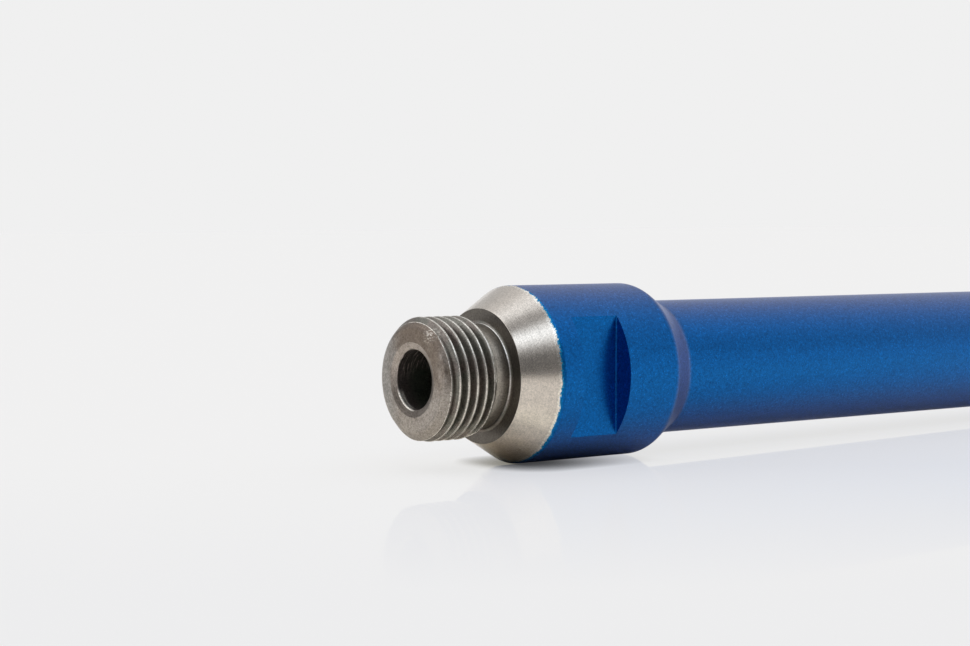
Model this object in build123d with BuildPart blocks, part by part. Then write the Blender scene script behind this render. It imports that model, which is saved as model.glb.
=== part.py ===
import os
from math import asin, degrees, radians, tan

from build123d import *

# Diamond core bit for wet drilling. It lies along X, with the connection thread towards -X and
# the crown towards +X. The origin is on the bit's axis, in the shoulder face that the spindle
# seats on. All sizes are in millimetres, and slopes are in degrees from the axis.

# connection thread: G 1/2, external, right-handed, 14 turns to the inch
thread_major_diameter = 20.955
thread_pitch = 25.4 / 14
thread_depth_ratio = 0.640327  # depth over pitch of the 55 degree rounded form
spigot_length = 14.0  # front face to shoulder
lead_in_slope = 45
face_relief = 0.3  # front face's edge below the thread's root
face_round = 1.0  # between the front face and the lead-in cone

# undercut between the thread and the shoulder
undercut_length = 4.4  # from the last full turn to the shoulder
undercut_diameter = 18.0
undercut_slope = 45
undercut_fillet = 0.5

# coolant bore, through the whole connector
coolant_bore_diameter = 10.1
countersink_diameter = 12.6
countersink_depth = 0.5

# connector body
shoulder_diameter = 23.2
body_diameter = 30.8
body_length = 32.0  # shoulder to the end of the full diameter
nose_slope = 30
heel_slope = 30
nose_round = 0.4  # between the nose cone and the body
heel_round = 2.5  # between the body and the heel cone

# spanner flats, one milled pocket on each side of the body
across_flats = 23.0
flat_start = 10.7  # behind the shoulder
flat_length = 10.2
flat_corner_round = 0.5

# barrel tube
tube_diameter = 24.2
tube_wall = 2.0
working_length = 300.0  # from the tube's seat on the connector to the cutting edge

# the connector's tail, which centres the tube while it is brazed on
tail_length = 12.0
tail_chamfer = 0.8
braze_gap = 0.05

# crown of diamond segments, brazed to the end of the tube and thicker than its wall
segment_count = 3
segment_height = 10.0
segment_chamfer = 0.4
outer_overhang = 0.9  # keeps the tube clear of the hole
inner_overhang = 0.6  # keeps the core clear of the tube
water_gap = 4.0  # between two segments, at their outside

# worked out from the sizes above
thread_radius = thread_major_diameter / 2
face_radius = thread_radius - thread_depth_ratio * thread_pitch - face_relief
bore_radius = coolant_bore_diameter / 2
body_radius = body_diameter / 2
tube_radius = tube_diameter / 2
tube_inner_radius = tube_radius - tube_wall
tube_seat = body_length + (body_radius - tube_radius) / tan(radians(heel_slope))
crown_seat = tube_seat + working_length - segment_height
crown_outer_radius = tube_radius + outer_overhang
crown_inner_radius = tube_inner_radius - inner_overhang


def slope_run(rise, slope):
    """Length along the axis in which a cone of this slope gains this radius."""
    return rise / tan(radians(slope))


def connector_outline():
    """Corners of the turned section: distance from the shoulder, radius, corner rounding."""
    front = -spigot_length
    undercut = -undercut_length
    undercut_radius = undercut_diameter / 2
    shoulder_radius = shoulder_diameter / 2
    tail_radius = tube_inner_radius - braze_gap
    tail_end = tube_seat + tail_length
    return [
        (front + countersink_depth, bore_radius, 0),
        (front, countersink_diameter / 2, 0),
        (front, face_radius, face_round),
        (front + slope_run(thread_radius - face_radius, lead_in_slope), thread_radius, 0),
        (undercut, thread_radius, 0),
        (undercut + slope_run(thread_radius - undercut_radius, undercut_slope), undercut_radius, 0),
        (0, undercut_radius, undercut_fillet),
        (0, shoulder_radius, 0),
        (slope_run(body_radius - shoulder_radius, nose_slope), body_radius, nose_round),
        (body_length, body_radius, heel_round),
        (tube_seat, tube_radius, 0),
        (tube_seat, tail_radius, 0),
        (tail_end - tail_chamfer, tail_radius, 0),
        (tail_end, tail_radius - tail_chamfer, 0),
        (tail_end, bore_radius, 0),
    ]


# connector: one turned piece with the thread spigot, the shoulder, the body and the tail
with BuildPart() as connector:
    with BuildSketch(Plane.XY):
        with BuildLine():
            corners = connector_outline()
            FilletPolyline(
                *[(x, radius) for x, radius, rounding in corners],
                radius=[rounding for x, radius, rounding in corners],
                close=True,
            )
        make_face()
    revolve(axis=Axis.X)
    with BuildSketch(Plane.XY):
        # seen from above, each pocket runs from its flat out past the body
        pocket_depth = body_diameter - across_flats
        for side in (-1, 1):
            with Locations((flat_start + flat_length / 2, side * (across_flats + pocket_depth) / 2)):
                RectangleRounded(flat_length, pocket_depth, flat_corner_round)
    extrude(amount=body_radius, both=True, mode=Mode.SUBTRACT)

# barrel tube: plain tube, seated on the connector's heel and centred by its tail
with BuildPart() as barrel_tube:
    with BuildSketch(Plane.YZ.offset(tube_seat)):
        Circle(tube_radius)
        Circle(tube_inner_radius, mode=Mode.SUBTRACT)
    extrude(amount=crown_seat - tube_seat)


def make_segment(turn):
    """One diamond segment, centred at this angle about the axis, seated on the tube's end."""
    tip = crown_seat + segment_height
    gap_angle = 2 * degrees(asin(water_gap / 2 / crown_outer_radius))
    segment_angle = 360 / segment_count - gap_angle
    section_plane = Plane.XY.rotated((turn - segment_angle / 2, 0, 0))
    with BuildPart() as segment:
        with BuildSketch(section_plane):
            with BuildLine():
                Polyline(
                    (crown_seat, crown_inner_radius),
                    (crown_seat, crown_outer_radius),
                    (tip - segment_chamfer, crown_outer_radius),
                    (tip, crown_outer_radius - segment_chamfer),
                    (tip, crown_inner_radius + segment_chamfer),
                    (tip - segment_chamfer, crown_inner_radius),
                    close=True,
                )
            make_face()
        revolve(axis=Axis.X, revolution_arc=segment_angle)
    return segment.part


os.makedirs("parts", exist_ok=True)

connector.part.label = "connector"
export_step(connector.part, "parts/connector.step")

barrel_tube.part.label = "barrel_tube"
export_step(barrel_tube.part, "parts/barrel_tube.step")

down = -90  # degrees about the axis
for number in range(1, segment_count + 1):
    # a water gap points down, so the crown rests on the corners of the two segments beside it
    segment = make_segment(down + (number - 0.5) * 360 / segment_count)
    segment.label = f"diamond_segment_{number}"
    export_step(segment, f"parts/diamond_segment_{number}.step")
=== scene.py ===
from math import acos, asin, atan2, copysign, cos, hypot, pi, radians, sin, tan

import bmesh
import bpy
from mathutils import Matrix, Vector


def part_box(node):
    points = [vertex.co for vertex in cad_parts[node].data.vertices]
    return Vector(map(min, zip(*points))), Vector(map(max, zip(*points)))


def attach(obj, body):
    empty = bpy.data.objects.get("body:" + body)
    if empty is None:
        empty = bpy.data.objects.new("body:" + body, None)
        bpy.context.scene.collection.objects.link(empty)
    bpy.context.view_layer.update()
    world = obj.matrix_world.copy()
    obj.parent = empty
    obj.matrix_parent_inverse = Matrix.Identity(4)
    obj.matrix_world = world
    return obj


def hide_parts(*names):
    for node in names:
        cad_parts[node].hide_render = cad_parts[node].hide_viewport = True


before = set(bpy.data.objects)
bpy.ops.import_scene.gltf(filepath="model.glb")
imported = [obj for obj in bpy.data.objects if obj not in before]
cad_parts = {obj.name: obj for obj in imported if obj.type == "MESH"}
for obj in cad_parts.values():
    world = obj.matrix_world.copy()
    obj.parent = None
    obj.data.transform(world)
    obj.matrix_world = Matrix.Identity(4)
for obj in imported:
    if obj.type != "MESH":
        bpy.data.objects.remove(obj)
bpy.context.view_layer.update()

mm = 0.001  # sizes below are in millimetres, objects are in metres
sharpAngle = radians(38)  # edges that turn more than this stay crisp
brightEdgeFrom = radians(24)  # outward edges start to look worn, with a painted highlight, at this turn
brightEdgeRange = radians(20)
guard = 0.12  # distance of the extra ring beside a rounding, which keeps the light flat
tiny = 0.001


def roundedLine(corners):
    # corners are (x, radius, rounding)
    line = []
    for index, (x, r, rounding) in enumerate(corners):
        here = Vector((x, r))
        if rounding == 0:
            line.append(here)
            continue
        back = Vector(corners[index - 1][:2]) - here
        ahead = Vector(corners[(index + 1) % len(corners)][:2]) - here
        halfAngle = back.angle(ahead) / 2
        setback = rounding / tan(halfAngle)
        centre = here + (back.normalized() + ahead.normalized()).normalized() * rounding / sin(halfAngle)
        start = here + back.normalized() * setback - centre
        stop = here + ahead.normalized() * setback - centre
        turn = copysign(pi - 2 * halfAngle, start.cross(stop))
        arcSteps = 4 if rounding < 0.8 else 8
        if back.length > setback + 3 * guard:
            line.append(here + back.normalized() * (setback + guard))
        for part in range(arcSteps + 1):
            line.append(centre + Matrix.Rotation(turn * part / arcSteps, 2) @ start)
        if ahead.length > setback + 3 * guard:
            line.append(here + ahead.normalized() * (setback + guard))
    return line


def radiusAt(line, x):
    # radius of an outline that only runs forwards along x
    for first, second in zip(line, line[1:]):
        if first.x <= x <= second.x and second.x > first.x:
            return first.y + (second.y - first.y) * (x - first.x) / (second.x - first.x)
    return line[-1].y


def spinLine(mesh, line, columns, pitch=0.0, closed=False, angle=2 * pi, startAngle=0.0):
    points = [mesh.verts.new((x * mm, r * mm, 0)) for x, r in line]
    edges = [mesh.edges.new(pair) for pair in zip(points, points[1:])]
    if closed:
        edges.append(mesh.edges.new((points[-1], points[0])))
    if startAngle:
        bmesh.ops.rotate(mesh, verts=points, cent=(0, 0, 0), matrix=Matrix.Rotation(startAngle, 3, "X"))
    fullTurn = pitch == 0 and angle == 2 * pi
    bmesh.ops.spin(mesh, geom=points + edges, cent=(0, 0, 0), axis=(1, 0, 0), angle=angle,
                   dvec=(pitch * mm / columns, 0, 0), steps=columns, use_merge=fullTurn)


def cleanMesh(mesh, distance=0.0005):
    bmesh.ops.remove_doubles(mesh, verts=mesh.verts, dist=distance * mm)
    bmesh.ops.dissolve_degenerate(mesh, edges=mesh.edges, dist=distance * mm)
    bmesh.ops.recalc_face_normals(mesh, faces=mesh.faces)


def markWornAndLitEdges(mesh):
    # 1 on sharp outward edges, worn bright by handling; the same mark also paints a highlight on them
    wearAndHighlight = mesh.verts.layers.float.new("wearAndHighlight")
    for vert in mesh.verts:
        sharpest = max(edge.calc_face_angle_signed(0) for edge in vert.link_edges)
        vert[wearAndHighlight] = min(max((sharpest - brightEdgeFrom) / brightEdgeRange, 0), 1)


def makePiece(mesh, name, materials, node):
    markWornAndLitEdges(mesh)
    for face in mesh.faces:
        face.smooth = True
    for edge in mesh.edges:
        if len(edge.link_faces) == 2:
            edge.smooth = edge.calc_face_angle() < sharpAngle
    data = bpy.data.meshes.new(name)
    mesh.to_mesh(data)
    mesh.free()
    piece = bpy.data.objects.new(name, data)
    bpy.context.collection.objects.link(piece)
    for material in materials:
        data.materials.append(material)
    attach(piece, "root")
    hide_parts(node)
    return piece


connector = {
    "columns": 240,
    "majorRadius": 20.955 / 2,
    "pitch": 25.4 / 14,
    "depthRatio": 0.640327,
    "crestRatio": 0.137329,  # crest and root radius over pitch
    "arcSteps": 3,  # half of a crest's or a root's steps
    "flankSteps": 5,
    "flankAngle": 27.5,
    "firstCrest": 0.59 - 25.4 / 28,  # behind the front face, at the +Y side
    "frontX": -14.0,
    "faceRelief": 0.3,  # front face's edge below the thread's root
    "faceRound": 1.0,
    "leadSlope": 45,
    "threadEnd": -4.5,
    "joinX": -3.1,  # where the thread's mesh meets the turned one
    "undercutRadius": 9.0,
    "undercutRound": 0.5,
    "shoulderRadius": 11.6,
    "edgeRound": 0.12,
    "bodyRadius": 15.4,
    "bodyEnd": 32.0,
    "coneSlope": 30,
    "noseRound": 0.4,
    "heelRound": 2.5,
    "tubeRadius": 12.1,
    "beadRound": 2.6,  # in the corner between heel and tube
    "beadReach": 0.9,
    "beadLip": 0.01,
    "tailRadius": 10.05,
    "tailLength": 12.0,
    "tailChamfer": 0.8,
    "boreRadius": 5.05,
    "boreRound": 0.25,
    "countersinkRadius": 6.3,
    "countersinkDepth": 0.5,
    "flatStart": 10.7,
    "flatLength": 10.2,
    "flatHalf": 11.5,
    "flatRound": 0.16,
}


def slopeRun(rise, slope):
    return rise / tan(radians(slope))


def spigotCorners(c):
    # front face, lead-in cone, thread's outside and the slope down to the undercut
    faceRadius = c["majorRadius"] - c["pitch"] * c["depthRatio"] - c["faceRelief"]
    leadRun = slopeRun(c["majorRadius"] - faceRadius, c["leadSlope"])
    undercutX = c["threadEnd"] + c["majorRadius"] - c["undercutRadius"]
    return [
        (c["frontX"], c["countersinkRadius"], 0),
        (c["frontX"], faceRadius, c["faceRound"]),
        (c["frontX"] + leadRun, c["majorRadius"], 0),
        (c["threadEnd"], c["majorRadius"], 0),
        (undercutX, c["undercutRadius"], 0),
    ]


def faceRing(c):
    # radius where the flat front face ends and its rounded edge starts
    return spigotCorners(c)[1][1] - c["faceRound"] * tan(radians((90 - c["leadSlope"]) / 2))


def threadLine(c, startX, stopX):
    # one 55 degree rounded form a pitch: crest arc, straight flank, root arc, straight flank
    rounding = c["pitch"] * c["crestRatio"]
    crestY = c["majorRadius"] - rounding
    rootY = c["majorRadius"] - c["pitch"] * c["depthRatio"] + rounding
    sweep = radians(90 - c["flankAngle"])
    turns = [sweep * part / c["arcSteps"] for part in range(-c["arcSteps"], c["arcSteps"] + 1)]
    shares = [(part + 1) / c["flankSteps"] for part in range(c["flankSteps"] - 1)]
    line = []
    x = c["frontX"] + c["firstCrest"]
    while x > startX:
        x -= c["pitch"]
    while x < stopX + c["pitch"]:
        middle = x + c["pitch"] / 2
        crest = [Vector((x + rounding * sin(turn), crestY + rounding * cos(turn))) for turn in turns]
        root = [Vector((middle + rounding * sin(turn), rootY - rounding * cos(turn))) for turn in turns]
        nextCrest = crest[0] + Vector((c["pitch"], 0))
        line += crest + [crest[-1].lerp(root[0], share) for share in shares]
        line += root + [root[-1].lerp(nextCrest, share) for share in shares]
        x += c["pitch"]
    return line


def cutThread(mesh, c):
    # a helical surface, cut back to the turned blank at the lead-in cone and the undercut
    blank = roundedLine(spigotCorners(c))
    spinLine(mesh, threadLine(c, c["frontX"] - c["pitch"], c["joinX"]), c["columns"], c["pitch"])
    for vert in mesh.verts:
        x = min(max(vert.co.x / mm, c["frontX"]), c["joinX"])
        r = hypot(vert.co.y, vert.co.z) / mm
        limit = radiusAt(blank, x) if x > c["frontX"] else faceRing(c)
        factor = min(r, limit) / r
        vert.co = (x * mm, vert.co.y * factor, vert.co.z * factor)
    return radiusAt(blank, c["joinX"])


def flatRings(c):
    # rings across a flat: doubled at each wall, close together in the corner rounding
    near = [0, 2 * tiny]
    for part in range(1, 5):
        near.append(c["flatRound"] * (1 - cos(pi / 2 * part / 4)))
    near.append(c["flatRound"] + guard)
    far = [c["flatLength"] - along for along in reversed(near)]
    return [c["flatStart"] + along for along in near + far]


def bodyLine(c, joinRadius):
    noseRun = slopeRun(c["bodyRadius"] - c["shoulderRadius"], c["coneSlope"])
    heelX = c["bodyEnd"] + slopeRun(c["bodyRadius"] - c["tubeRadius"], c["coneSlope"])
    undercutX = c["threadEnd"] + c["majorRadius"] - c["undercutRadius"]
    beadRadius = c["tubeRadius"] + c["beadLip"]
    return roundedLine([
        (c["joinX"], joinRadius, 0),
        (undercutX, c["undercutRadius"], c["edgeRound"]),
        (0, c["undercutRadius"], c["undercutRound"]),
        (0, c["shoulderRadius"], c["edgeRound"]),
        (noseRun, c["bodyRadius"], c["noseRound"]),
    ] + [(x, c["bodyRadius"], 0) for x in flatRings(c)] + [
        (c["bodyEnd"], c["bodyRadius"], c["heelRound"]),
        (heelX, beadRadius, c["beadRound"]),
        (heelX + c["beadReach"], beadRadius, 0),
        (heelX + c["beadReach"], c["tubeRadius"] - c["beadLip"], 0),
        (heelX, c["tubeRadius"] - c["beadLip"], 0),
        (heelX, c["tailRadius"], 0),
        (heelX + c["tailLength"] - c["tailChamfer"], c["tailRadius"], 0),
        (heelX + c["tailLength"], c["tailRadius"] - c["tailChamfer"], 0),
        (heelX + c["tailLength"], c["boreRadius"], 0),
        (c["frontX"] + c["countersinkDepth"], c["boreRadius"], c["boreRound"]),
        (c["frontX"], c["countersinkRadius"], c["edgeRound"]),
        (c["frontX"], faceRing(c) - guard, 0),
        (c["frontX"], faceRing(c), 0),
    ])


def millFlats(mesh, c):
    # columns nearest the flats' edges move on to them, then the rings between the walls sink in
    flatEnd = c["flatStart"] + c["flatLength"]
    edgeAngle = acos(c["flatHalf"] / c["bodyRadius"])
    half = pi / c["columns"]
    for vert in mesh.verts:
        x = vert.co.x / mm
        y, z = vert.co.y / mm, vert.co.z / mm
        if not c["flatStart"] - tiny < x < flatEnd + tiny or hypot(y, z) < c["bodyRadius"] - 10 * tiny:
            continue
        angle = atan2(abs(z), abs(y))
        if abs(angle - edgeAngle) < half:
            y = copysign(c["bodyRadius"] * cos(edgeAngle), y)
            z = copysign(c["bodyRadius"] * sin(edgeAngle), z)
        depth = min(x - c["flatStart"], flatEnd - x)
        if depth > tiny:
            corner = max(c["flatRound"] - depth, 0)
            floorY = c["flatHalf"] + c["flatRound"] - (c["flatRound"] ** 2 - corner ** 2) ** 0.5
            y = copysign(min(abs(y), floorY), y)
        if depth < 10 * tiny:
            x = c["flatStart"] if x < (c["flatStart"] + flatEnd) / 2 else flatEnd
        vert.co = (x * mm, y * mm, z * mm)


def makeConnector(c, material):
    mesh = bmesh.new()
    joinRadius = cutThread(mesh, c)
    spinLine(mesh, bodyLine(c, joinRadius), c["columns"])
    millFlats(mesh, c)
    cleanMesh(mesh)
    print("connector volume, cubic mm:", round(mesh.calc_volume(signed=True) / mm ** 3, 1))
    return makePiece(mesh, "steel_connector", [material], "connector")


tube = {
    "columns": 192,
    "outerRadius": connector["tubeRadius"],
    "innerRadius": 10.1,
    "edgeRound": 0.15,
    "insideTone": (0.25, 0.235, 0.22, 1),
}


def makeTube(t, material):
    low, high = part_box("barrel_tube")
    startX, stopX = low[0] / mm, high[0] / mm
    mesh = bmesh.new()
    spinLine(mesh, roundedLine([
        (startX, t["outerRadius"], 0),
        (stopX, t["outerRadius"], t["edgeRound"]),
        (stopX, t["innerRadius"], t["edgeRound"]),
        (startX, t["innerRadius"], 0),
    ]), t["columns"], closed=True)
    cleanMesh(mesh)
    print("tube volume, cubic mm:", round(mesh.calc_volume(signed=True) / mm ** 3, 1))
    return makePiece(mesh, "steel_barrel_tube", [material], "barrel_tube")


crown = {
    "count": 3,
    "outerRadius": 13.0,
    "innerRadius": 9.5,
    "waterGap": 4.0,
    "edgeRound": 0.4,
    "steps": 48,
    "gritDensity": 1.6,  # a millimetre
    "darkMetal": (0.12, 0.115, 0.105, 1),
    "paleMetal": (0.3, 0.28, 0.24, 1),
    "grit": (0.62, 0.6, 0.42, 1),
    "brass": (0.5, 0.36, 0.16, 1),
}


def makeSegment(s, number, material):
    low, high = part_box("diamond_segment_%d" % number)
    startX, stopX = low[0] / mm, high[0] / mm
    gapAngle = 2 * asin(s["waterGap"] / 2 / s["outerRadius"])
    angle = 2 * pi / s["count"] - gapAngle
    middle = -pi / 2 + (number - 0.5) * 2 * pi / s["count"]
    mesh = bmesh.new()
    line = roundedLine([
        (startX, s["innerRadius"], s["edgeRound"]),
        (startX, s["outerRadius"], s["edgeRound"]),
        (stopX, s["outerRadius"], s["edgeRound"]),
        (stopX, s["innerRadius"], s["edgeRound"]),
    ])
    spinLine(mesh, line, s["steps"], closed=True, angle=angle, startAngle=middle - angle / 2)
    bmesh.ops.holes_fill(mesh, edges=mesh.edges)
    cleanMesh(mesh)
    print("segment volume, cubic mm:", round(mesh.calc_volume(signed=True) / mm ** 3, 1))
    name = "cutting_segment_%d" % number
    return makePiece(mesh, name, [material], "diamond_segment_%d" % number)


def addNode(tree, kind, **settings):
    node = tree.nodes.new(kind)
    for key, value in settings.items():
        setattr(node, key, value)
    return node


def feed(tree, target, value):
    # a socket takes a link or a plain value
    if isinstance(value, bpy.types.NodeSocket):
        tree.links.new(value, target)
    else:
        target.default_value = value


def calc(tree, operation, first, second=0.0, third=0.0):
    node = addNode(tree, "ShaderNodeMath", operation=operation)
    for socket, value in zip(node.inputs, (first, second, third)):
        feed(tree, socket, value)
    return node.outputs[0]


def mixColour(tree, factor, first, second, blend="MIX"):
    node = addNode(tree, "ShaderNodeMix", data_type="RGBA", blend_type=blend)
    feed(tree, node.inputs["Factor"], factor)
    feed(tree, node.inputs[6], first)
    feed(tree, node.inputs[7], second)
    return node.outputs[2]


def step(tree, value, low, high, smooth=True):
    # 0 below low, 1 above high
    node = addNode(tree, "ShaderNodeMapRange", interpolation_type="SMOOTHSTEP" if smooth else "LINEAR")
    feed(tree, node.inputs["Value"], value)
    feed(tree, node.inputs["From Min"], low)
    feed(tree, node.inputs["From Max"], high)
    return node.outputs["Result"]


def fall(tree, value, low, high):
    # 1 below low, 0 above high
    return calc(tree, "SUBTRACT", 1.0, step(tree, value, low, high))


def noise(tree, vector, scale, detail=2.0, roughness=0.5):
    node = addNode(tree, "ShaderNodeTexNoise")
    feed(tree, node.inputs["Vector"], vector)
    feed(tree, node.inputs["Scale"], scale)
    feed(tree, node.inputs["Detail"], detail)
    feed(tree, node.inputs["Roughness"], roughness)
    return node.outputs["Fac"]


def combine(tree, x, y, z):
    node = addNode(tree, "ShaderNodeCombineXYZ")
    for socket, value in zip(node.inputs, (x, y, z)):
        feed(tree, socket, value)
    return node.outputs[0]


def scaleVector(tree, vector, factor):
    node = addNode(tree, "ShaderNodeVectorMath", operation="SCALE")
    feed(tree, node.inputs[0], vector)
    feed(tree, node.inputs["Scale"], factor)
    return node.outputs[0]


def mixFloat(tree, factor, first, second):
    node = addNode(tree, "ShaderNodeMix", data_type="FLOAT")
    feed(tree, node.inputs[0], factor)
    feed(tree, node.inputs[2], first)
    feed(tree, node.inputs[3], second)
    return node.outputs[0]


def within(tree, value, low, high, soft=0.04):
    # 1 between low and high, 0 outside
    pastLow = step(tree, value, low - soft, low + soft)
    pastHigh = step(tree, value, high - soft, high + soft)
    return calc(tree, "SUBTRACT", pastLow, pastHigh)


def objectPlace(tree):
    # Object coordinates in millimetres: whole vector, x, y, z, distance from the axis
    place = scaleVector(tree, addNode(tree, "ShaderNodeTexCoord").outputs["Object"], 1 / mm)
    split = addNode(tree, "ShaderNodeSeparateXYZ")
    feed(tree, split.inputs[0], place)
    x, y, z = split.outputs
    squares = calc(tree, "ADD", calc(tree, "MULTIPLY", y, y), calc(tree, "MULTIPLY", z, z))
    return place, x, y, z, calc(tree, "SQRT", squares)


def addBump(tree, shader, height, strength, distance):
    bump = addNode(tree, "ShaderNodeBump")
    bump.inputs["Strength"].default_value = strength
    bump.inputs["Distance"].default_value = distance * mm
    feed(tree, bump.inputs["Height"], height)
    feed(tree, shader.inputs["Normal"], bump.outputs[0])


def newMaterial(name):
    material = bpy.data.materials.new(name)
    material.use_nodes = True
    return material, material.node_tree, material.node_tree.nodes["Principled BSDF"]


paint = {
    "blue": (0.003, 0.116, 0.395, 1),
    "sheenViolet": (0.105, 0.165, 0.40, 1),  # painted sheen colour, seen at a slant
    "thinBlue": (0.01, 0.29, 0.52, 1),  # where it thins out over the steel
    "roughness": 0.38,
    "coat": 0.06,
    "coatRoughness": 0.25,
    "sheenSlant": (0.33, 0.95),  # from where to where the painted sheen turns it violet
    "grain": 0.95,
    "flakeSize": 0.19,
    "flakeShare": 0.45,
    "middleTone": 0.725,  # mean of flakes and mottle together
    "glints": (0.9, 0.97),  # the brightest flakes
    "glintLevel": 0.45,
    "edgeX": 5.97,  # where it starts on the nose cone
    "edgeDrift": 0.2,  # towards the thread at the bottom
    "edgeBow": 0.4,  # away from it at the top and the bottom
    "edgeWander": 0.3,
    "ragged": 1.9,
    "fringe": 0.35,
    "bumpStrength": 0.25,
    "bumpDistance": 0.02,
}

# tone and roughness of each bare surface, and of the highlights and shade painted on it
steel = {
    "faceDark": ((0.19, 0.155, 0.13, 1), 0.42),
    "facePale": ((0.35, 0.318, 0.292, 1), 0.42),
    "faceCool": ((0.3, 0.288, 0.28, 1), 0.42),
    "countersink": ((0.36, 0.32, 0.295, 1), 0.4),
    # painted shade on the lower part of the countersink
    "sinkShade": ((0.15, 0.13, 0.115, 1), 0.45),
    "bore": ((0.2, 0.175, 0.165, 1), 0.6),
    "boreLitStreak": ((0.85, 0.75, 0.72, 1), 0.62),
    # painted light: pale streaks in the bore's upper part
    "boreDeep": ((0.17, 0.2, 0.17, 1), 0.55),
    "boreShine": ((0.95, 0.9, 0.86, 1), 0.64),
    "threadBrown": ((0.195, 0.172, 0.158, 1), 0.36),
    "threadGreen": ((0.185, 0.18, 0.162, 1), 0.36),
    # thread crests: worn bright, and their pale tone also paints a highlight on them
    "crest": ((0.64, 0.615, 0.57, 1), 0.24),
    "undercut": ((0.42, 0.385, 0.34, 1), 0.36),
    # painted highlight in the shoulder's fillet, on its upper side
    "filletHighlight": ((0.85, 0.82, 0.78, 1), 0.3),
    "shoulder": ((0.13, 0.12, 0.11, 1), 0.36),
    "cone": ((0.67, 0.617, 0.563, 1), 0.2),
    # worn steel; the same pale tone also paints highlights on sharp edges, on the bore's edge and by the
    # paint's edge
    "wearAndHighlight": ((0.9, 0.86, 0.8, 1), 0.55),
}


# where those surfaces and the paint start and stop, in millimetres: x, y, z or radius
zone = {
    "threadX": (-12.75, -12.35),
    "spigotRadius": (7.0, 7.1),
    "undercutX": (-3.6, -0.6),
    "shoulderX": (-0.2, -0.05),
    "shoulderRadius": (9.45, 9.6),
    "coneX": (-0.1, 0.02),
    "coneRadius": (11.56, 11.62),
    "crestX": (-13.0, -4.0),
    "crestRadius": (10.34, 10.44),
    # where the painted highlight in the shoulder's fillet lies
    "filletHighlightRing": (-0.3, 9.12, 0.14),  # x, radius and reach
    "filletHighlightZ": (-7.0, 4.0),
    "coolY": (5.0, 11.0),
    "sinkRadius": (6.26, 6.34),
    "sinkShadeZ": (-1.0, 3.5),
    "litStreakZ": (-1.0, 1.5),
    "deepX": (-12.0, -9.0),
    "deepZ": (0.5, 3.0),
    "shineX": (-13.4, -12.6),
    "shineY": (0.4, 1.6),
    "shineRadius": (5.2, 5.3),
    # where the painted highlight on the bore's edge lies
    "lipHighlightY": (-0.5, 1.5),
    "lipHighlightZ": (-2.8, -1.6),
    "lipHighlightReach": 0.3,
    "scuffPlace": (-13.5, -4.7, 7.6),  # on the front face's edge
    "scuffReach": (0.4, 2.2),
    "paintRadius": (7.0, 7.2),
    "wearRadius": (11.5, 11.6),
}


def paintGroup():
    # metallic paint: how bright its fine flakes are, and how they tilt the light
    group = bpy.data.node_groups.new("metallic paint", "ShaderNodeTree")
    group.interface.new_socket("Grain", in_out="INPUT", socket_type="NodeSocketFloat")
    group.interface.new_socket("Sparkle", in_out="OUTPUT", socket_type="NodeSocketFloat")
    group.interface.new_socket("Height", in_out="OUTPUT", socket_type="NodeSocketFloat")
    given = addNode(group, "NodeGroupInput")
    result = addNode(group, "NodeGroupOutput")
    place = objectPlace(group)[0]
    flakes = addNode(group, "ShaderNodeTexVoronoi")
    feed(group, flakes.inputs["Vector"], place)
    feed(group, flakes.inputs["Scale"], 1 / paint["flakeSize"])
    flakeTone = addNode(group, "ShaderNodeSeparateColor")
    feed(group, flakeTone.inputs[0], flakes.outputs["Color"])
    mottle = noise(group, place, 2.0, 3.0, 0.6)
    tone = calc(group, "ADD", calc(group, "MULTIPLY", flakeTone.outputs[0], paint["flakeShare"]), mottle)
    glints = calc(group, "MULTIPLY", step(group, flakeTone.outputs[1], *paint["glints"]),
                  paint["glintLevel"])
    shift = calc(group, "MULTIPLY_ADD", calc(group, "SUBTRACT", tone, paint["middleTone"]),
                 given.outputs["Grain"], 1.0)
    feed(group, result.inputs["Sparkle"], calc(group, "ADD", shift, glints))
    feed(group, result.inputs["Height"], noise(group, place, 3.3, 2.0))
    return group


def paintColourAndSheen(tree, colour, sparkle):
    # painted sheen: the paint's colour turns violet at a slant; the flakes' sparkle scales it
    facing = addNode(tree, "ShaderNodeLayerWeight").outputs["Facing"]
    slanted = mixColour(tree, step(tree, facing, *paint["sheenSlant"]), colour, paint["sheenViolet"])
    return scaleVector(tree, slanted, sparkle)


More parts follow.
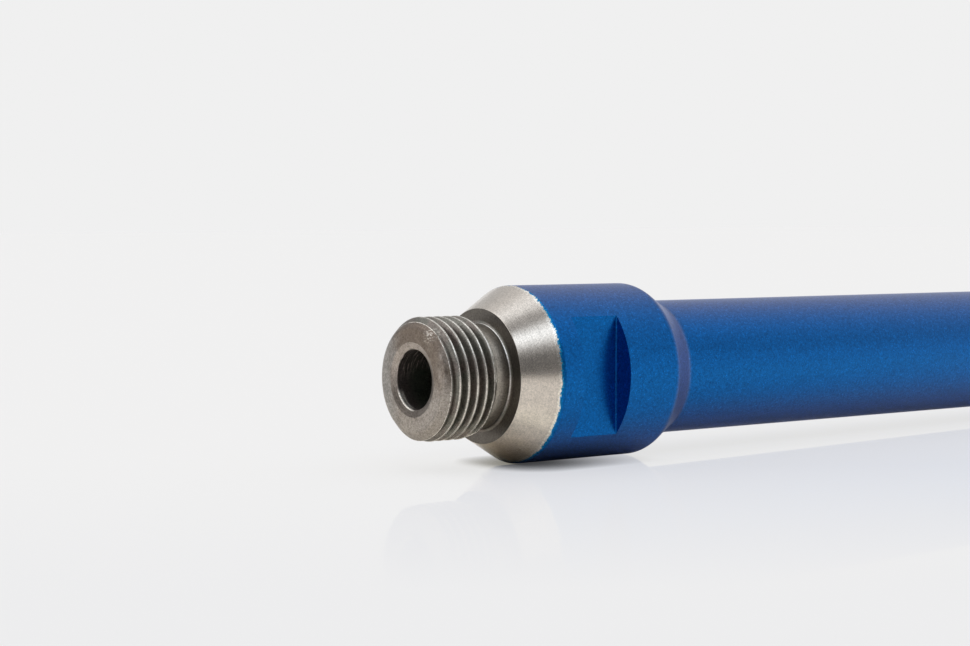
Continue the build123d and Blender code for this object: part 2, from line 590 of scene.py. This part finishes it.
def steelGroup():
    # used steel: turning marks round the axis, grain, stains and scratches
    group = bpy.data.node_groups.new("used steel", "ShaderNodeTree")
    group.interface.new_socket("Tone", in_out="INPUT", socket_type="NodeSocketColor")
    group.interface.new_socket("Wear", in_out="INPUT", socket_type="NodeSocketFloat")
    group.interface.new_socket("Colour", in_out="OUTPUT", socket_type="NodeSocketColor")
    group.interface.new_socket("Height", in_out="OUTPUT", socket_type="NodeSocketFloat")
    given = addNode(group, "NodeGroupInput")
    result = addNode(group, "NodeGroupOutput")
    place, x, y, z, radius = objectPlace(group)
    along = calc(group, "ADD", x, radius)
    around = combine(group, calc(group, "MULTIPLY", along, 9.0), calc(group, "DIVIDE", y, radius),
                     calc(group, "DIVIDE", z, radius))
    marks = noise(group, around, 1.0, 3.0, 0.6)
    grain = noise(group, place, 3.4, 2.0, 0.8)
    blotches = noise(group, place, 0.7, 5.0, 0.65)
    stains = step(group, noise(group, place, 1.7, 3.0, 0.6), 0.6, 0.72)
    lines = addNode(group, "ShaderNodeMapping")
    feed(group, lines.inputs["Vector"], place)
    lines.inputs["Rotation"].default_value = (radians(35), 0, 0)
    lines.inputs["Scale"].default_value = (0.6, 9.0, 0.45)
    scratches = step(group, noise(group, lines.outputs[0], 1.0, 2.0), 0.62, 0.74)
    shade = 1.0
    for effect, centre, size in ((marks, 0.5, 1.3), (grain, 0.5, 2.6), (blotches, 0.5, 1.0),
                                 (stains, 0.0, -0.5), (scratches, 0.0, 0.35)):
        amount = calc(group, "MULTIPLY", given.outputs["Wear"], size)
        shade = calc(group, "MULTIPLY_ADD", calc(group, "SUBTRACT", effect, centre), amount, shade)
    feed(group, result.inputs["Colour"], scaleVector(group, given.outputs["Tone"], shade))
    feed(group, result.inputs["Height"], calc(group, "ADD", marks, calc(group, "MULTIPLY", grain, 0.5)))
    return group


def useGroup(tree, group, **values):
    node = addNode(tree, "ShaderNodeGroup", node_tree=group)
    for key, value in values.items():
        feed(tree, node.inputs[key], value)
    return node.outputs


def product(tree, *values):
    result = values[0]
    for value in values[1:]:
        result = calc(tree, "MULTIPLY", result, value)
    return result


def nearRing(tree, x, radius, ringX, ringRadius, reach):
    # 1 on a circle round the axis, 0 beyond its reach
    offX = calc(tree, "SUBTRACT", x, ringX)
    offRadius = calc(tree, "SUBTRACT", radius, ringRadius)
    squares = calc(tree, "ADD", calc(tree, "MULTIPLY", offX, offX),
                   calc(tree, "MULTIPLY", offRadius, offRadius))
    return fall(tree, calc(tree, "SQRT", squares), reach * 0.6, reach)


def bareSteel(tree, place, x, y, z, radius):
    # later zones cover earlier ones
    c = connector
    clouds = noise(tree, place, 0.35, 5.0, 0.65)
    lean = calc(tree, "MULTIPLY_ADD", z, -0.034, calc(tree, "MULTIPLY", y, -0.012))
    facePale = step(tree, calc(tree, "ADD", clouds, lean), 0.36, 0.74)
    tinge = step(tree, noise(tree, place, 0.25, 3.0), 0.4, 0.6)
    inThread = product(tree, step(tree, calc(tree, "MULTIPLY_ADD", clouds, 0.3, x), *zone["threadX"]),
                       step(tree, radius, *zone["spigotRadius"]))
    inBore = fall(tree, radius, c["boreRadius"] + 0.02, c["boreRadius"] + 0.12)
    rings = combine(tree, calc(tree, "MULTIPLY", x, 5.0), calc(tree, "MULTIPLY", y, 0.25),
                    calc(tree, "MULTIPLY", z, 0.35))
    # painted light: pale streaks in the upper part of the bore
    litStreaks = product(tree, step(tree, noise(tree, rings, 1.0, 3.0), 0.5, 0.7),
                      step(tree, z, *zone["litStreakZ"]))
    deep = product(tree, step(tree, x, *zone["deepX"]), fall(tree, z, *zone["deepZ"]))
    boreEdge = product(tree, within(tree, x, *zone["shineX"], 0.2), step(tree, y, *zone["shineY"]),
                       fall(tree, z, *zone["lipHighlightZ"]), fall(tree, radius, *zone["shineRadius"]))
    # painted highlight on the bore's edge, low on the +Y side
    lipHighlight = product(tree, nearRing(tree, x, radius, c["frontX"] + c["countersinkDepth"], c["boreRadius"],
                                 zone["lipHighlightReach"]),
                  fall(tree, z, *zone["lipHighlightZ"]), step(tree, y, *zone["lipHighlightY"]))
    spot = addNode(tree, "ShaderNodeVectorMath", operation="DISTANCE")
    feed(tree, spot.inputs[0], place)
    spot.inputs[1].default_value = zone["scuffPlace"]
    rubs = combine(tree, calc(tree, "MULTIPLY", x, 3.0), calc(tree, "MULTIPLY", y, 1.2),
                   calc(tree, "MULTIPLY", z, 4.0))
    scuff = product(tree, fall(tree, spot.outputs["Value"], *zone["scuffReach"]),
                    step(tree, noise(tree, rubs, 1.0, 2.0), 0.45, 0.7), 0.6)
    inSink = fall(tree, radius, *zone["sinkRadius"])
    # painted shade: the countersink darker towards the bottom
    shadedLowerSink = fall(tree, calc(tree, "MULTIPLY_ADD", clouds, 3.0, z), *zone["sinkShadeZ"])
    attribute = addNode(tree, "ShaderNodeAttribute", attribute_name="wearAndHighlight")
    ragged = step(tree, noise(tree, place, 3.0, 2.0), 0.3, 0.55)
    zones = [
        (facePale, "facePale"),
        (step(tree, calc(tree, "MULTIPLY_ADD", clouds, 6.0, y), *zone["coolY"]), "faceCool"),
        (inThread, "threadBrown"),
        (product(tree, inThread, tinge), "threadGreen"),
        (within(tree, x, *zone["undercutX"], 0.2), "undercut"),
        (product(tree, step(tree, x, *zone["shoulderX"]),
                 step(tree, radius, *zone["shoulderRadius"])), "shoulder"),
        (product(tree, step(tree, radius, *zone["coneRadius"]), step(tree, x, *zone["coneX"])), "cone"),
        # crests worn bright, with a painted highlight
        (product(tree, step(tree, radius, *zone["crestRadius"]), within(tree, x, *zone["crestX"])), "crest"),
        # painted highlight in the shoulder's fillet, upper side only
        (product(tree, nearRing(tree, x, radius, *zone["filletHighlightRing"]),
                 step(tree, z, *zone["filletHighlightZ"])), "filletHighlight"),
        (inSink, "countersink"),
        # painted shade on the countersink's lower part
        (product(tree, inSink, shadedLowerSink), "sinkShade"),
        (inBore, "bore"),
        (product(tree, inBore, litStreaks), "boreLitStreak"),
        (product(tree, inBore, deep), "boreDeep"),
        (boreEdge, "boreShine"),
        # painted highlight on the bore's edge
        (lipHighlight, "wearAndHighlight"),
        (scuff, "wearAndHighlight"),
        # sharp edges: worn bright, and a painted highlight on them
        (product(tree, step(tree, attribute.outputs["Fac"], 0.0, 0.45), ragged), "wearAndHighlight"),
    ]
    tone, rough = steel["faceDark"]
    for mask, name in zones:
        zoneTone, zoneRough = steel[name]
        tone = mixColour(tree, mask, tone, zoneTone)
        rough = mixFloat(tree, mask, rough, zoneRough)
    return tone, rough


def connectorMaterial(flakes, used):
    material, tree, shader = newMaterial("turned steel with blue paint")
    place, x, y, z, radius = objectPlace(tree)
    wander = calc(tree, "ADD", noise(tree, place, 0.45, 1.0),
                  calc(tree, "MULTIPLY", noise(tree, place, 2.9, 3.0, 0.75), paint["ragged"]))
    upward = calc(tree, "DIVIDE", z, connector["bodyRadius"])
    bow = calc(tree, "MULTIPLY_ADD", upward, paint["edgeBow"], paint["edgeDrift"])
    edge = calc(tree, "MULTIPLY_ADD", calc(tree, "SUBTRACT", wander, 0.5 + paint["ragged"] / 2),
                paint["edgeWander"] * 2, calc(tree, "MULTIPLY_ADD", upward, bow, paint["edgeX"]))
    past = calc(tree, "SUBTRACT", x, edge)
    outside = step(tree, radius, *zone["paintRadius"])
    painted = calc(tree, "MULTIPLY", step(tree, past, -0.04, 0.04), outside)
    thin = fall(tree, past, 0.0, paint["fringe"])
    blue = mixColour(tree, thin, paint["blue"], paint["thinBlue"])
    coat = useGroup(tree, flakes, Grain=paint["grain"])

    bare, bareRough = bareSteel(tree, place, x, y, z, radius)
    # painted highlight on the bare steel just in front of the paint's edge
    paintEdgeHighlight = product(tree, within(tree, past, -0.4, 0.0), step(tree, noise(tree, place, 3.0, 3.0), 0.35, 0.6))
    bare = mixColour(tree, paintEdgeHighlight, bare, steel["wearAndHighlight"][0])
    worn = useGroup(tree, used, Tone=bare,
                    Wear=mixFloat(tree, step(tree, radius, *zone["wearRadius"]), 0.7, 0.4))
    feed(tree, shader.inputs["Base Color"], mixColour(
        tree, painted, worn["Colour"], paintColourAndSheen(tree, blue, coat["Sparkle"])))
    feed(tree, shader.inputs["Roughness"], mixFloat(tree, painted, bareRough, paint["roughness"]))
    feed(tree, shader.inputs["Coat Weight"], calc(tree, "MULTIPLY", painted, paint["coat"]))
    shader.inputs["Coat Roughness"].default_value = paint["coatRoughness"]
    shader.inputs["Metallic"].default_value = 1.0
    shader.inputs["Anisotropic"].default_value = 0.5
    tangent = addNode(tree, "ShaderNodeTangent", direction_type="RADIAL", axis="X")
    tree.links.new(tangent.outputs[0], shader.inputs["Tangent"])
    height = mixFloat(tree, painted, worn["Height"], coat["Height"])
    addBump(tree, shader, height, paint["bumpStrength"], paint["bumpDistance"])
    return material


def tubeMaterial(flakes, used):
    material, tree, shader = newMaterial("blue painted tube")
    radius = objectPlace(tree)[4]
    outside = step(tree, radius, tube["innerRadius"] + 0.1, tube["innerRadius"] + 0.3)
    coat = useGroup(tree, flakes, Grain=paint["grain"])
    inside = useGroup(tree, used, Tone=tube["insideTone"], Wear=0.6)
    feed(tree, shader.inputs["Base Color"], mixColour(
        tree, outside, inside["Colour"], paintColourAndSheen(tree, paint["blue"], coat["Sparkle"])))
    feed(tree, shader.inputs["Roughness"], mixFloat(tree, outside, 0.45, paint["roughness"]))
    feed(tree, shader.inputs["Coat Weight"], calc(tree, "MULTIPLY", outside, paint["coat"]))
    shader.inputs["Coat Roughness"].default_value = paint["coatRoughness"]
    shader.inputs["Metallic"].default_value = 1.0
    height = mixFloat(tree, outside, inside["Height"], coat["Height"])
    addBump(tree, shader, height, paint["bumpStrength"], paint["bumpDistance"])
    return material


def segmentMaterial():
    # grey sintered metal with pale diamond grit, and a line of braze against the tube
    material, tree, shader = newMaterial("sintered diamond segment")
    place, x = objectPlace(tree)[:2]
    grains = noise(tree, place, 4.0, 4.0, 0.7)
    grit = addNode(tree, "ShaderNodeTexVoronoi")
    feed(tree, grit.inputs["Vector"], place)
    feed(tree, grit.inputs["Scale"], crown["gritDensity"])
    chance = addNode(tree, "ShaderNodeSeparateColor")
    feed(tree, chance.inputs[0], grit.outputs["Color"])
    crystal = product(tree, fall(tree, grit.outputs["Distance"], 0.22, 0.34),
                      step(tree, chance.outputs[0], 0.55, 0.6))
    tint = mixColour(tree, grains, crown["darkMetal"], crown["paleMetal"])
    fromTube = calc(tree, "SUBTRACT", x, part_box("barrel_tube")[1][0] / mm)
    braze = fall(tree, calc(tree, "MULTIPLY_ADD", grains, -0.5, fromTube), 0.1, 0.3)
    tint = mixColour(tree, braze, tint, crown["brass"])
    feed(tree, shader.inputs["Base Color"], mixColour(tree, crystal, tint, crown["grit"]))
    feed(tree, shader.inputs["Metallic"], calc(tree, "MULTIPLY_ADD", crystal, -0.8, 0.8))
    feed(tree, shader.inputs["Roughness"], calc(tree, "MULTIPLY_ADD", crystal, -0.35, 0.6))
    addBump(tree, shader, calc(tree, "ADD", grains, crystal), 0.6, 0.1)
    return material


flakePaint = paintGroup()
usedSteel = steelGroup()
makeConnector(connector, connectorMaterial(flakePaint, usedSteel))
makeTube(tube, tubeMaterial(flakePaint, usedSteel))
sintered = segmentMaterial()
for number in range(1, crown["count"] + 1):
    makeSegment(crown, number, sintered)
print("pieces made")

studio = {
    "pale": 0.871,  # floor and background
    "floorTone": (0.99, 0.945, 0.89),
    "seenTone": (0.89, 0.875, 0.905),  # the same floor where it is looked at
    "floorSize": 20.0,
    "away": (0.6, 0.8),  # level direction away from the camera
    "polish": 1.4,  # index of refraction
    "evenness": 0.82,  # share of the seen floor's tone that takes no wide shadow
    "contactSeen": (0.93, 0.0052),  # depth and reach of the shade where the hub meets the floor
    "contactBelow": (0.97, 0.0042),  # the same in the hub's own reflection of the floor
    "contactFrom": (-0.003, 0.005),
    "contactTo": (0.012, 0.034),
    "mirror": (0.164, 0.15, 0.107),
    "mirrorRoughness": 0.02,
    "glossRoughness": 0.1,
    "mirrorFade": 0.11,  # metres in front of the axis
    "sideLight": [(0, 0.79, 0), (13, 0.76, 0), (20, 0.6, 0), (40, 0.62, 0), (60, 0.8, 0),
                  (80, 1.2, 0.03)],
    "frontLight": [(0, 0.14, 0), (27, 0.16, 0), (37, 0.38, 0), (46, 1.3, 0.06), (56, 1.85, 0.08),
                   (64, 1.4, 0.06), (72, 0.46, 0), (77, 0.24, 0), (81, 0.55, 0), (84, 1.3, 0.03)],
    "frontCentre": -112,
    "frontEdge": (0.45, 0.8),
    "boxHeight": (0.55, 0.72),  # where the soft boxes start to reach further round than the dark room
    "boxReach": 0.45,
    "backdropTop": (0.2, 0.3),
    "cardEdge": 5,  # degrees of softness
    "darkCard": (-172, 60),  # azimuth and elevation
    "cardRadius": 22,
    "cardLevel": 0.3,
    "backLight": (152, 48),
    "backRadius": 27,
    "backLevel": 1.5,
}


def occlusion(tree, reach):
    node = addNode(tree, "ShaderNodeAmbientOcclusion", samples=16)
    node.inputs["Distance"].default_value = reach
    return node.outputs["AO"]


def showsPale(tree, mirrored=1.0):
    # 1 on rays that show the pale background: seen, through glass and, times mirrored, off metal
    rays = addNode(tree, "ShaderNodeLightPath").outputs
    glossy = calc(tree, "MULTIPLY", rays["Is Glossy Ray"], mirrored)
    clear = calc(tree, "MAXIMUM", rays["Is Camera Ray"], rays["Is Transmission Ray"])
    return calc(tree, "MAXIMUM", clear, glossy)


def makeFloor():
    bodyBottom = Vector((connector["bodyEnd"] * mm, -connector["bodyRadius"] * mm))
    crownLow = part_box("diamond_segment_1")[0][2]
    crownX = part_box("diamond_segment_1")[1][0]
    slope = (crownLow - bodyBottom.y) / (crownX - bodyBottom.x)
    mesh = bmesh.new()
    bmesh.ops.create_grid(mesh, x_segments=1, y_segments=1, size=studio["floorSize"] / 2)
    bmesh.ops.rotate(mesh, verts=mesh.verts, cent=(0, 0, 0),
                     matrix=Matrix.Rotation(-atan2(slope, 1), 3, "Y"))
    bmesh.ops.translate(mesh, verts=mesh.verts, vec=(0, 0, bodyBottom.y - slope * bodyBottom.x))
    data = bpy.data.meshes.new("floor")
    mesh.to_mesh(data)
    mesh.free()
    floor = bpy.data.objects.new("floor", data)
    bpy.context.collection.objects.link(floor)
    material, tree, shader = newMaterial("pale floor")
    tree.nodes.remove(shader)
    split = addNode(tree, "ShaderNodeSeparateXYZ")
    feed(tree, split.inputs[0], addNode(tree, "ShaderNodeTexCoord").outputs["Object"])
    awayX, awayY = studio["away"]
    depth = calc(tree, "MULTIPLY_ADD", split.outputs[0], awayX,
                 calc(tree, "MULTIPLY", split.outputs[1], awayY))
    near = step(tree, depth, -studio["mirrorFade"], 0.0, smooth=False)
    mirror = mixColour(tree, near, (0, 0, 0, 1), studio["mirror"] + (1,))

    nearHub = calc(tree, "SUBTRACT", step(tree, split.outputs[0], *studio["contactFrom"]),
                   step(tree, split.outputs[0], *studio["contactTo"]))
    shade, shadeBelow = [
        product(tree, strength, nearHub, calc(tree, "SUBTRACT", 1.0, occlusion(tree, reach)))
        for strength, reach in (studio["contactSeen"], studio["contactBelow"])]
    level = calc(tree, "MULTIPLY_ADD", shade, -studio["pale"], studio["pale"])

    matt = addNode(tree, "ShaderNodeBsdfDiffuse")
    clear = showsPale(tree, 0.0)
    tone = mixColour(tree, clear, studio["floorTone"] + (1,), studio["seenTone"] + (1,))
    feed(tree, matt.inputs["Color"], scaleVector(tree, tone, calc(tree, "SUBTRACT", 1.0, shadeBelow)))
    even = addNode(tree, "ShaderNodeEmission")
    feed(tree, even.inputs["Color"],
         mixColour(tree, 1.0, level, mixColour(tree, 1.0, (1, 1, 1, 1), mirror, "SUBTRACT"), "MULTIPLY"))
    soft = addNode(tree, "ShaderNodeMixShader")
    feed(tree, soft.inputs[0], calc(tree, "MULTIPLY", clear, studio["evenness"]))
    tree.links.new(matt.outputs[0], soft.inputs[1])
    tree.links.new(even.outputs[0], soft.inputs[2])
    polish = addNode(tree, "ShaderNodeBsdfGlossy")
    polish.inputs["Roughness"].default_value = studio["mirrorRoughness"]
    feed(tree, polish.inputs["Color"], mirror)
    shown = addNode(tree, "ShaderNodeAddShader")
    tree.links.new(soft.outputs[0], shown.inputs[0])
    tree.links.new(polish.outputs[0], shown.inputs[1])

    gloss = addNode(tree, "ShaderNodeBsdfGlossy")
    gloss.inputs["Roughness"].default_value = studio["glossRoughness"]
    fresnel = addNode(tree, "ShaderNodeFresnel")
    fresnel.inputs["IOR"].default_value = studio["polish"]
    plain = addNode(tree, "ShaderNodeMixShader")
    tree.links.new(fresnel.outputs[0], plain.inputs[0])
    tree.links.new(matt.outputs[0], plain.inputs[1])
    tree.links.new(gloss.outputs[0], plain.inputs[2])
    whole = addNode(tree, "ShaderNodeMixShader")
    feed(tree, whole.inputs[0], showsPale(tree))
    tree.links.new(plain.outputs[0], whole.inputs[1])
    tree.links.new(shown.outputs[0], whole.inputs[2])
    tree.links.new(whole.outputs[0], tree.nodes["Material Output"].inputs["Surface"])
    data.materials.append(material)


def towards(azimuth, elevation):
    flat = cos(radians(elevation))
    return Vector((flat * cos(radians(azimuth)), flat * sin(radians(azimuth)), sin(radians(elevation))))


def lightRamp(tree, height, stops):
    # stops are (elevation in degrees, level, coolness)
    ramp = addNode(tree, "ShaderNodeValToRGB")
    elements = ramp.color_ramp.elements
    while len(elements) < len(stops):
        elements.new(0.5)
    for element, (elevation, level, cool) in zip(elements, stops):
        element.position = sin(radians(elevation))
        element.color = (level * (1 - cool), level, level * (1 + cool), 1)
    feed(tree, ramp.inputs[0], height)
    return ramp.outputs[0]


def makeWorld():
    # a pale tent with two soft boxes overhead, open to a dark room at the front
    world = bpy.data.worlds.new("light tent")
    bpy.context.scene.world = world
    world.use_nodes = True
    tree = world.node_tree
    direction = addNode(tree, "ShaderNodeTexCoord").outputs["Generated"]
    split = addNode(tree, "ShaderNodeSeparateXYZ")
    feed(tree, split.inputs[0], direction)
    flat = addNode(tree, "ShaderNodeVectorMath", operation="MULTIPLY")
    feed(tree, flat.inputs[0], direction)
    flat.inputs[1].default_value = (1, 1, 0)
    level = addNode(tree, "ShaderNodeVectorMath", operation="NORMALIZE")
    feed(tree, level.inputs[0], flat.outputs[0])
    ahead = addNode(tree, "ShaderNodeVectorMath", operation="DOT_PRODUCT")
    feed(tree, ahead.inputs[0], level.outputs[0])
    ahead.inputs[1].default_value = towards(studio["frontCentre"], 0)
    widened = calc(tree, "MULTIPLY_ADD", step(tree, split.outputs[2], *studio["boxHeight"]),
                   studio["boxReach"], ahead.outputs["Value"])
    facing = step(tree, widened, *studio["frontEdge"])
    colour = mixColour(tree, facing, lightRamp(tree, split.outputs[2], studio["sideLight"]),
                       lightRamp(tree, split.outputs[2], studio["frontLight"]))
    for card, radius, amount in (("darkCard", "cardRadius", "cardLevel"),
                                 ("backLight", "backRadius", "backLevel")):
        close = addNode(tree, "ShaderNodeVectorMath", operation="DOT_PRODUCT")
        feed(tree, close.inputs[0], direction)
        close.inputs[1].default_value = towards(*studio[card])
        on = step(tree, close.outputs["Value"], cos(radians(studio[radius] + studio["cardEdge"])),
                  cos(radians(studio[radius] - studio["cardEdge"])))
        colour = mixColour(tree, on, colour, (studio[amount],) * 3 + (1,))
    low = fall(tree, split.outputs[2], *studio["backdropTop"])
    backdrop = product(tree, calc(tree, "SUBTRACT", 1.0, facing), low)
    colour = mixColour(tree, showsPale(tree, backdrop), colour, (studio["pale"],) * 3 + (1,))
    feed(tree, tree.nodes["Background"].inputs["Color"], colour)


def makeCamera():
    data = bpy.data.cameras.new("camera")
    data.sensor_width = 36
    data.sensor_fit = "HORIZONTAL"
    data.lens = 71.880
    data.clip_start = 0.01
    data.clip_end = 200
    camera = bpy.data.objects.new("camera", data)
    camera.location = (-0.197552, -0.264238, 0.024536)
    camera.rotation_euler = (radians(87.3196), 0, radians(-36.9550))
    bpy.context.collection.objects.link(camera)
    bpy.context.scene.camera = camera


makeFloor()
makeWorld()
makeCamera()
bpy.context.scene.view_settings.view_transform = "Standard"
